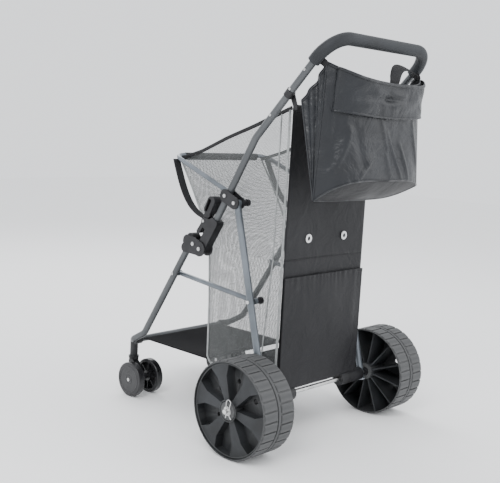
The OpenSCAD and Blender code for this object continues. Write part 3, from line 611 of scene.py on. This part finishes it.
# Bindings: flat tape folded over each raw edge and sewn down, silver on the net's upright edges.
# The tops of the sides have a black band, where the bag takes its load.
binding_silver = new_finish("silver_binding", (0.26, 0.27, 0.27), 0.5, 0, 0.05, 0.3)[0]
skin_detail(binding_silver, (0.31, 0.32, 0.32), (0.2, 0.21, 0.21), 60, 900, 0.6, 0.4, 0.6)
binding_black = new_finish("black_binding", (0.012, 0.012, 0.013), 0.65, 0, 0.03, 0.25)[0]
skin_detail(binding_black, (0.018, 0.018, 0.02), (0.008, 0.008, 0.009), 60, 1200, 0.7, 0.5, 0.75)


def rounded_tape(name, path, width, thick, facing):
    """A flat tape along a path, lying across the direction it faces."""
    bm = bmesh.new()
    loops = []
    for i, p in enumerate(path):
        here = Vector(p)
        ahead = (Vector(path[min(i + 1, len(path) - 1)]) - Vector(path[max(i - 1, 0)])).normalized()
        out = Vector(facing if not callable(facing) else facing(i))
        across = ahead.cross(out).normalized()
        out = across.cross(ahead).normalized()
        loop = []
        for k in range(12):
            a = 2 * math.pi * k / 12
            c, s = math.cos(a), math.sin(a)
            squared = (abs(c) ** 4 + abs(s) ** 4) ** 0.25
            loop.append(bm.verts.new(
                here + across * (width / 2 * c / squared) + out * (thick / 2 * s / squared)))
        loops.append(loop)
    for i in range(len(loops) - 1):
        for k in range(12):
            onward = (k + 1) % 12
            bm.faces.new((loops[i][k], loops[i][onward], loops[i + 1][onward], loops[i + 1][k]))
    bm.faces.new(loops[0])
    bm.faces.new(list(reversed(loops[-1])))
    bmesh.ops.recalc_face_normals(bm, faces=bm.faces)
    mesh = bpy.data.meshes.new(name)
    bm.to_mesh(mesh)
    mesh.shade_smooth()
    return mesh


def add_tape(name, path, width, thick, facing, finish, body):
    """Sews one length of tape to the bag."""
    return add_piece(name, rounded_tape(name, path, width, thick, facing), finish, body)


steps = 24
for sign, tag in ((1, "left"), (-1, "right")):
    def on_low(s, t, off=0.0015):
        x, y, z = net_low_point(sign, s, t)
        return (x + sign * off, y, z)

    def on_high(s, t, off=0.0015):
        x, y, z = net_high_point(sign, s, t)
        return (x + sign * off, y, z)

    outward = (sign, 0, 0)
    shares = [k / steps for k in range(steps + 1)]
    for place, path_low, path_high, tape_w in (
            ("front_edge", [on_low(0.004, t) for t in shares],
             [on_high(0.004, t) for t in shares], 0.006),
            ("rear_edge", [on_low(0.985, t) for t in shares],
             [on_high(0.985, t) for t in shares], 0.007),
            ("rear_seam", [on_low(0.88 - 0.10 * t ** 0.8, 1 - t) for t in shares],
             [on_high(0.88 + 0.04 * t, t) for t in shares], 0.004)):
        for level, path, body, fold in (
                ("lower", path_low, "front_frame", fold_low),
                ("upper", path_high, "handle_frame", fold_high)):
            tape_name = place + "_" + level + "_" + tag
            fold(add_tape(tape_name, path, tape_w, 0.003, outward, binding_silver, body))
    fold_high(add_tape(
        "top_band_" + tag, [on_high(k / 40, 0.99) for k in range(41)],
        0.010, 0.003, outward, binding_black, "handle_frame"))
    fold_low(add_tape(
        "foot_band_" + tag, [on_low(k / 30, 0.012) for k in range(31)],
        0.008, 0.003, outward, binding_silver, "front_frame"))
band_path = [
    (-bag_half + 2 * bag_half * k / 30, rear_y + 0.0015,
     rear_top - 0.006 - 0.004 * math.sin(math.pi * k / 30)) for k in range(31)]
rear_band = add_tape(
    "rear_top_band", band_path, 0.02, 0.004, (0, 1, 0), binding_black, "handle_frame")
mouth_path = [Vector(pocket_point(k / 110, 0.985)) + Vector((0, 0.0006, 0)) for k in range(111)]
mouth_tape = add_tape(
    "pocket_elastic", mouth_path, 0.009, 0.0025, (0, 1, 0), nylon, "front_frame")
fold_low(pocket)
fold_low(mouth_tape)
fold_low(rear_low)
fold_high(rear_high)
fold_high(rear_band)

# The hoop's sleeve: the top of the front wall, in black cloth.
# It is turned over the hoop's bar and sewn to itself, with a short tail below.
hoop_low, hoop_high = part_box("hoop_tube")
sleeve_path = [(-0.150 + 0.3 * k / 40, hoop_low.y + 0.0065, hoop_high.z - 0.0068) for k in range(41)]
sleeve_bm = bmesh.new()
sleeve_loops = []
for i, p in enumerate(sleeve_path):
    loop = []
    for k in range(16):
        a = 2 * math.pi * k / 16
        r = 0.0078 + 0.0006 * noise.noise(Vector((p[0] * 60, math.cos(a), math.sin(a))))
        tail = 0.006 if abs(a - 3 * math.pi / 2) < 0.5 else 0
        loop.append(sleeve_bm.verts.new((p[0], p[1] + r * math.cos(a), p[2] + (r + tail) * math.sin(a))))
    sleeve_loops.append(loop)
for i in range(len(sleeve_loops) - 1):
    for k in range(16):
        onward = (k + 1) % 16
        sleeve_bm.faces.new((
            sleeve_loops[i][k], sleeve_loops[i][onward],
            sleeve_loops[i + 1][onward], sleeve_loops[i + 1][k]))
bmesh.ops.recalc_face_normals(sleeve_bm, faces=sleeve_bm.faces)
sleeve_mesh = bpy.data.meshes.new("hoop_sleeve")
sleeve_bm.to_mesh(sleeve_mesh)
sleeve_mesh.shade_smooth()
add_piece("hoop_sleeve", sleeve_mesh, binding_black, "hoop")

# The eyelets: white plastic rings in two parts, near the top of the rear panel.
# The parts snap together through the cloth, with a dark hole in the middle.
eyelet = new_finish("eyelet_plastic", (0.75, 0.76, 0.76), 0.4)[0]
skin_detail(eyelet, (0.8, 0.8, 0.8), (0.66, 0.67, 0.68), 80, 900, 0.2, 0.3, 0.5)
ring_low, ring_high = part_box("grommets")
ring_z = (ring_low.z + ring_high.z) / 2
ring_r = (ring_high.z - ring_low.z) / 2
for centre_x, tag in ((ring_high.x - ring_r, "left"), (ring_low.x + ring_r, "right")):
    bm = bmesh.new()
    for k in range(40):
        pts = []
        for a in (2 * math.pi * k / 40, 2 * math.pi * (k + 1) / 40):
            for b in range(9):
                w = math.pi * b / 8
                r = (ring_r + 0.0055) / 2 + (ring_r - 0.0055) / 2 * math.cos(w)
                pts.append(bm.verts.new((
                    centre_x + r * math.cos(a),
                    ring_low.y + 0.0012 + 0.0028 * math.sin(w),
                    ring_z + r * math.sin(a))))
        for b in range(8):
            bm.faces.new((pts[b], pts[b + 1], pts[b + 10], pts[b + 9]))
    bmesh.ops.remove_doubles(bm, verts=bm.verts, dist=1e-5)
    bmesh.ops.recalc_face_normals(bm, faces=bm.faces)
    mesh = bpy.data.meshes.new("eyelet_" + tag)
    bm.to_mesh(mesh)
    mesh.shade_smooth()
    ring = add_piece("eyelet_" + tag, mesh, eyelet, "handle_frame")
    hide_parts("grommets")
    fold_high(ring)
    dot = bmesh.new()
    bmesh.ops.create_circle(dot, cap_ends=True, segments=24, radius=0.0056)
    stand_up = Matrix.Rotation(math.pi / 2, 4, "X")
    to_panel = Matrix.Translation((centre_x, ring_low.y + 0.0012, ring_z))
    bmesh.ops.transform(dot, matrix=to_panel @ stand_up, verts=dot.verts)
    dot_mesh = bpy.data.meshes.new("eyelet_hole_" + tag)
    dot.to_mesh(dot_mesh)
    hole = add_piece("eyelet_hole_" + tag, dot_mesh, nylon, "handle_frame")
    fold_high(hole)

# The bag's floor and the apron ahead of it: black coated cloth, stretched from seam to seam.
# The apron runs on from the front wall's foot and is sewn round the front bar.
floor_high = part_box("bag_floor")[1]
apron_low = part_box("apron")[0]


def floor_point(s, t):
    x = -bag_half + 2 * bag_half * s
    y = front_low[0][0] + t * (rear_y - front_low[0][0])
    return (x, y, floor_high.z - 0.001 - 0.006 * math.sin(math.pi * s) * math.sin(math.pi * t))


def apron_point(s, t):
    x = -bag_half + 2 * bag_half * s
    y = apron_low.y + t * (front_low[1][0] - apron_low.y)
    wave = 0.004 * noise.noise(Vector((x * 8, y * 6, 4.0)))
    sag = 0.012 * math.sin(math.pi * t) * math.sin(math.pi * s)
    z = apron_low.z + 0.0015 + (0.168 - apron_low.z) * t - sag + wave * math.sin(math.pi * s)
    return (x, y, z)


apron_cloth = new_finish("apron_cloth", (0.006, 0.006, 0.007), 0.85, 0, 0, 0.08)[0]
skin_detail(apron_cloth, (0.009, 0.009, 0.01), (0.004, 0.004, 0.005), 12, 1300, 0.5, 0.75, 0.95)
base = add_piece(
    "bag_base", grid_mesh("bag_base", 30, 24, floor_point), apron_cloth, "front_frame")
apron = add_piece(
    "front_apron", grid_mesh("front_apron", 34, 30, apron_point), apron_cloth, "front_frame")
for part, node in ((base, "bag_floor"), (apron, "apron")):
    thick = part.modifiers.new("cloth", "SOLIDIFY")
    thick.thickness = 0.0015
    thick.offset = 0
    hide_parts(node)
fold_low(base)

# The straps: black webbing from the hoop's corners down to the latches.
# Each hangs in a slack curve, with stitched ends.
webbing, web_nodes, web_links, web_shader = new_finish(
    "black_webbing", (0.01, 0.01, 0.011), 0.7, 0, 0.03, 0.25)
web_place = web_nodes.new("ShaderNodeTexCoord")
web_wave = web_nodes.new("ShaderNodeTexWave")
web_wave.bands_direction = "DIAGONAL"
web_wave.inputs["Scale"].default_value = 160
web_links.new(web_place.outputs["Object"], web_wave.inputs["Vector"])
web_bump = web_nodes.new("ShaderNodeBump")
web_bump.inputs["Strength"].default_value = 0.6
web_bump.inputs["Distance"].default_value = 0.0008
web_links.new(web_wave.outputs["Fac"], web_bump.inputs["Height"])
web_links.new(web_bump.outputs["Normal"], web_shader.inputs["Normal"])
web_tone = web_nodes.new("ShaderNodeValToRGB")
web_tone.color_ramp.elements[0].color = (0.005, 0.005, 0.006, 1)
web_tone.color_ramp.elements[1].color = (0.018, 0.018, 0.02, 1)
web_links.new(web_wave.outputs["Fac"], web_tone.inputs["Fac"])
web_links.new(web_tone.outputs["Color"], web_shader.inputs["Base Color"])
for sign, tag in ((1, "left"), (-1, "right")):
    low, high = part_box("hoop_strap_" + tag)
    hung = []
    for k in range(31):
        t = k / 30
        y = high.y + (low.y - high.y) * t
        z = low.z + (high.z - low.z) * t - 0.034 * math.sin(math.pi * t) ** 0.9
        y -= 0.006 * math.sin(math.pi * t)
        hung.append((sign * (0.1935 + 0.003 * math.sin(4 * t)), y + 0.004, z))
    strap = rounded_tape("strap_" + tag, hung, 0.026, 0.0024, (0, -0.5, -0.8))
    strap_piece = add_piece("strap_" + tag, strap, webbing, None)
    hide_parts("hoop_strap_" + tag)
    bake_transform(strap_piece)

# The tote: thin coated nylon, cut as a deep box and hung from the handle by its mouth.
# Empty, it creases between its corners, and its rear face has a low patch pocket.
tote_nylon, tote_nodes, tote_links, tote_shader = new_finish(
    "tote_nylon", (0.010, 0.010, 0.012), 0.34, 0, 0.02, 0.36)
tote_place = tote_nodes.new("ShaderNodeTexCoord")
tote_tone = tote_nodes.new("ShaderNodeTexNoise")
tote_tone.inputs["Scale"].default_value = 11
tote_ramp = tote_nodes.new("ShaderNodeValToRGB")
tote_ramp.color_ramp.elements[0].color = (0.0055, 0.006, 0.0075, 1)
tote_ramp.color_ramp.elements[1].color = (0.0145, 0.0165, 0.0205, 1)
tote_links.new(tote_place.outputs["Object"], tote_tone.inputs["Vector"])
tote_links.new(tote_tone.outputs["Fac"], tote_ramp.inputs["Fac"])
tote_links.new(tote_ramp.outputs["Color"], tote_shader.inputs["Base Color"])
tote_crease = tote_nodes.new("ShaderNodeTexNoise")
tote_crease.inputs["Scale"].default_value = 9
tote_crease.inputs["Detail"].default_value = 7
tote_crease.inputs["Distortion"].default_value = 2.2
tote_links.new(tote_place.outputs["Object"], tote_crease.inputs["Vector"])
tote_weave = tote_nodes.new("ShaderNodeTexWave")
tote_weave.bands_direction = "DIAGONAL"
tote_weave.inputs["Scale"].default_value = 500
tote_links.new(tote_place.outputs["Object"], tote_weave.inputs["Vector"])
tote_fine = tote_nodes.new("ShaderNodeBump")
tote_fine.inputs["Strength"].default_value = 0.2
tote_fine.inputs["Distance"].default_value = 0.0003
tote_links.new(tote_weave.outputs["Fac"], tote_fine.inputs["Height"])
tote_folds = tote_nodes.new("ShaderNodeBump")
tote_folds.inputs["Strength"].default_value = 0.7
tote_folds.inputs["Distance"].default_value = 0.012
tote_links.new(tote_crease.outputs["Fac"], tote_folds.inputs["Height"])
tote_links.new(tote_fine.outputs["Normal"], tote_folds.inputs["Normal"])
tote_links.new(tote_folds.outputs["Normal"], tote_shader.inputs["Normal"])

tote_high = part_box("tote_body")[1]
tote_end = tote_high.x - 0.001
# Each end of the bag is drawn to one low corner; the left one hangs lower and further forward
foot_corner = {1: (0.308, 0.660), -1: (0.345, 0.694)}
# The front edge of the mouth, on the side of the bag
mouth_y, mouth_z = 0.253, 0.900
# Creases that run between its corners: start x, z, end x, z, how proud, how wide
creases = [
    (0.198, 0.672, 0.135, 0.830, 0.0065, 0.010), (0.105, 0.712, 0.055, 0.775, 0.0060, 0.008),
    (0.000, 0.835, -0.078, 0.716, 0.0048, 0.006), (-0.065, 0.805, -0.112, 0.716, 0.0040, 0.006),
    (-0.125, 0.860, -0.178, 0.712, 0.0045, 0.008), (0.030, 0.862, -0.010, 0.790, 0.0035, 0.009),
    (0.130, 0.870, 0.085, 0.740, -0.0040, 0.014), (-0.030, 0.720, -0.010, 0.770, 0.0040, 0.012),
    (0.165, 0.900, 0.172, 0.760, -0.0050, 0.010)]


def near_line(x, z, line):
    """How near a point of the cloth is to a crease, 1 on it and 0 well away."""
    x0, z0, x1, z1, proud, wide = line
    dx, dz = x1 - x0, z1 - z0
    t = max(0.0, min(1.0, ((x - x0) * dx + (z - z0) * dz) / (dx * dx + dz * dz)))
    away = math.hypot(x - x0 - t * dx, z - z0 - t * dz)
    return proud * math.exp(-(away / wide) ** 2) * (0.35 + 0.65 * math.sin(math.pi * (0.15 + 0.7 * t)))


def rim_line(x):
    u = abs(x) / tote_end
    return (0.324 + 0.053 * (1 - u ** 5), 0.9545 + 0.033 * u ** 4 + 0.006 * max(0, x) / tote_end)


def rear_hem(x):
    u = abs(x) / tote_end
    y, z = foot_corner[1 if x >= 0 else -1]
    return (y + (0.377 - y) * (1 - u ** 4), z + (0.713 - z) * (1 - u ** 5))


def front_hem(x):
    u = abs(x) / tote_end
    y, z = foot_corner[1 if x >= 0 else -1]
    return (y + (0.300 - y) * (1 - u ** 4), z + (0.656 - z) * (1 - u ** 4))


def rear_face(s, t):
    x = -tote_end + 2 * tote_end * s
    (y0, z0), (y1, z1) = rear_hem(x), rim_line(x)
    z = z0 + (z1 - z0) * t
    u = abs(x) / tote_end
    mid = (1 - u ** 6) * math.sin(math.pi * min(1, 0.06 + 0.9 * t)) ** 0.7
    cloth = 0.006 * noise.noise(Vector((x * 6 + z * 5, 1.0, z * 4)))
    cloth += 0.003 * noise.noise(Vector((x * 15 - z * 9, 3.0, z * 8)))
    sharp = sum(near_line(x, z, line) for line in creases)
    return (x, y0 + (y1 - y0) * t - 0.004 * mid + cloth * mid + sharp * min(1, mid * 1.6), z)


def under_face(s, t):
    x = -tote_end + 2 * tote_end * s
    (y0, z0), (y1, z1) = front_hem(x), rear_hem(x)
    mid = math.sin(math.pi * s) * math.sin(math.pi * t)
    rough = 0.004 * noise.noise(Vector((x * 14, t * 2.0, 9.0)))
    return (x, y0 + (y1 - y0) * t + 0.003 * mid, z0 + (z1 - z0) * t - 0.007 * mid + rough * mid)


def front_face(s, t):
    x = -tote_end + 2 * tote_end * s
    y0, z0 = front_hem(x)
    y1, z1 = mouth_y, mouth_z - 0.012 * math.sin(math.pi * s)
    mid = math.sin(math.pi * s) * math.sin(math.pi * t)
    wave = 0.005 * mid * noise.noise(Vector((x * 9, 14.0, t * 3)))
    return (x, y0 + (y1 - y0) * t + wave - 0.001 * mid, z0 + (z1 - z0) * t)


def gusset(sign):
    corner_y, corner_z = foot_corner[sign]

    def point(s, t):
        # s runs from the front edge to the rear edge, and the two meet at the low corner
        fy, fz = corner_y + (mouth_y - corner_y) * t, corner_z + (mouth_z - corner_z) * t
        edge = rear_face(1.0 if sign > 0 else 0.0, t)
        y, z = fy + (edge[1] - fy) * s, fz + (edge[2] - fz) * s
        hollow = math.sin(math.pi * s)
        pleat = t ** 0.7 * (0.010 * hollow + 0.0055 * math.sin(5 * math.pi * s) * hollow)
        wave = 0.002 * noise.noise(Vector((y * 20, z * 8, sign * 2.0))) * hollow
        return (sign * (tote_end - pleat + wave), y, z)
    return point


for name, columns, rows, point in (
        ("tote_rear", 130, 80, rear_face), ("tote_under", 70, 14, under_face),
        ("tote_front", 60, 40, front_face), ("tote_gusset_left", 40, 50, gusset(1)),
        ("tote_gusset_right", 40, 50, gusset(-1))):
    # Painted shade: the tote's underside takes the darker, duller rear-panel nylon instead of its own cloth,
    # so it reads as the shaded side.
    finish = nylon if name == "tote_under" else tote_nylon
    face = add_piece(name, grid_mesh(name, columns, rows, point), finish, "handle_frame")
    thick = face.modifiers.new("cloth", "SOLIDIFY")
    thick.thickness = 0.001
    thick.offset = 0
    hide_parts("tote_body")

# The tote's patch pocket: one piece of the same nylon, sewn on three sides.
# Its loose top edge lies along the tote's rim, and its slack cloth crumples above the seam.
def patch_point(s, t):
    x = -0.182 + 0.364 * s
    rim_z = rim_line(x)[1] - 0.003
    low_z = 0.869 + 0.010 * (2 * s - 1) ** 2
    z = low_z + (rim_z - low_z) * t
    y0, z0 = rear_hem(x)
    y1, z1 = rim_line(x)
    under = y0 + (y1 - y0) * (z - z0) / (z1 - z0)
    edge = math.sin(math.pi * s) ** 0.35
    stand = 0.003 + edge * (0.004 + 0.011 * t)
    crumple = 0.0085 * noise.noise(Vector((x * 13 + z * 9, 21.0, z * 17)))
    crumple += 0.004 * noise.noise(Vector((x * 30, 25.0, z * 34)))
    lumps = (0.006 * math.exp(-((x - 0.02) / 0.05) ** 2 - ((z - 0.895) / 0.014) ** 2)
             - 0.007 * math.exp(-((x - 0.01) / 0.06) ** 2 - ((z - 0.915) / 0.008) ** 2))
    slack = math.sin(math.pi * min(1, 0.06 + 0.8 * t))
    return (x, under + stand + (crumple + lumps) * edge * slack, z)


patch = add_piece(
    "tote_patch", grid_mesh("tote_patch", 120, 40, patch_point), tote_nylon, "handle_frame")
patch_thick = patch.modifiers.new("cloth", "SOLIDIFY")
patch_thick.thickness = 0.001
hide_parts("tote_pocket")

# The tote's seams: narrow tape over each joined edge, in the same nylon.
# Its rim is turned over a cord, so it stands a little proud.
def seam(name, points, width=0.006, facing=(0, 1, 0.2)):
    """Narrow tape in the tote's own nylon, sewn along a line of its face."""
    tape = rounded_tape(name, [Vector(p) for p in points], width, 0.0032, facing)
    return add_piece(name, tape, tote_nylon, "handle_frame")


def patch_line(t):
    """A line of the patch, from end to end, a thread's width proud."""
    return [Vector(patch_point(k / 80, t)) + Vector((0, 0.001, 0)) for k in range(81)]


for sign, tag in ((1, "left"), (-1, "right")):
    edge_s = 1.0 if sign > 0 else 0.0
    end_face = gusset(sign)
    seam("tote_rear_seam_" + tag, [rear_face(edge_s, k / 40) for k in range(41)], 0.004, (sign, 0.6, 0))
    seam("tote_front_seam_" + tag, [front_face(edge_s, k / 30) for k in range(31)], 0.005, (sign, -0.3, 0))
    seam("tote_mouth_seam_" + tag, [end_face(k / 30, 0.995) for k in range(31)], 0.008, (sign, 0, 0))
seam("tote_foot_seam", [rear_face(k / 80, 0.0) for k in range(81)], 0.006, (0, 1, -0.6))
seam("tote_base_seam", [front_face(k / 80, 0.0) for k in range(81)], 0.006, (0, 0.3, -1))
seam("tote_rim", [rear_face(k / 80, 0.99) for k in range(81)], 0.009)
seam("tote_patch_rim", patch_line(0.985), 0.008)
seam("tote_patch_foot", patch_line(0.01), 0.006)

# The tote's ties: a webbing tab at each end of the rim.
# Each is looped round the tube under the grip and stitched back on itself.
for sign, tag in ((1, "left"), (-1, "right")):
    start = Vector(rear_face(1.0 if sign > 0 else 0.0, 0.97))
    tube_side = Vector((sign * 0.2035, 0.304, 0.998))
    tie_path = [
        start.lerp(tube_side, k / 12) + Vector((0, 0.004 * math.sin(math.pi * k / 12), 0))
        for k in range(13)]
    add_tape("tote_tie_" + tag, tie_path, 0.018, 0.0026, (sign, 0, 0), webbing, "handle_frame")

# The tote's carrying strap: wide webbing, stitched to the rim at both ends.
# It stands in a stiff arch from the rim's middle to its right end.
arch = []
for k in range(41):
    t = k / 40
    x = -0.022 - 0.168 * t
    rise = 0.058 * math.sin(math.pi * min(1, t * 1.02)) ** 0.62 * (1 - 0.30 * t)
    y, z = rim_line(x)
    arch.append((x, y - 0.008 - 0.030 * math.sin(math.pi * t), z - 0.004 + rise))
carry = add_tape(
    "tote_carry_strap", arch, 0.032, 0.0026, (-0.2, 0.5, 0.9), webbing, "handle_frame")
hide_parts("tote_flap")
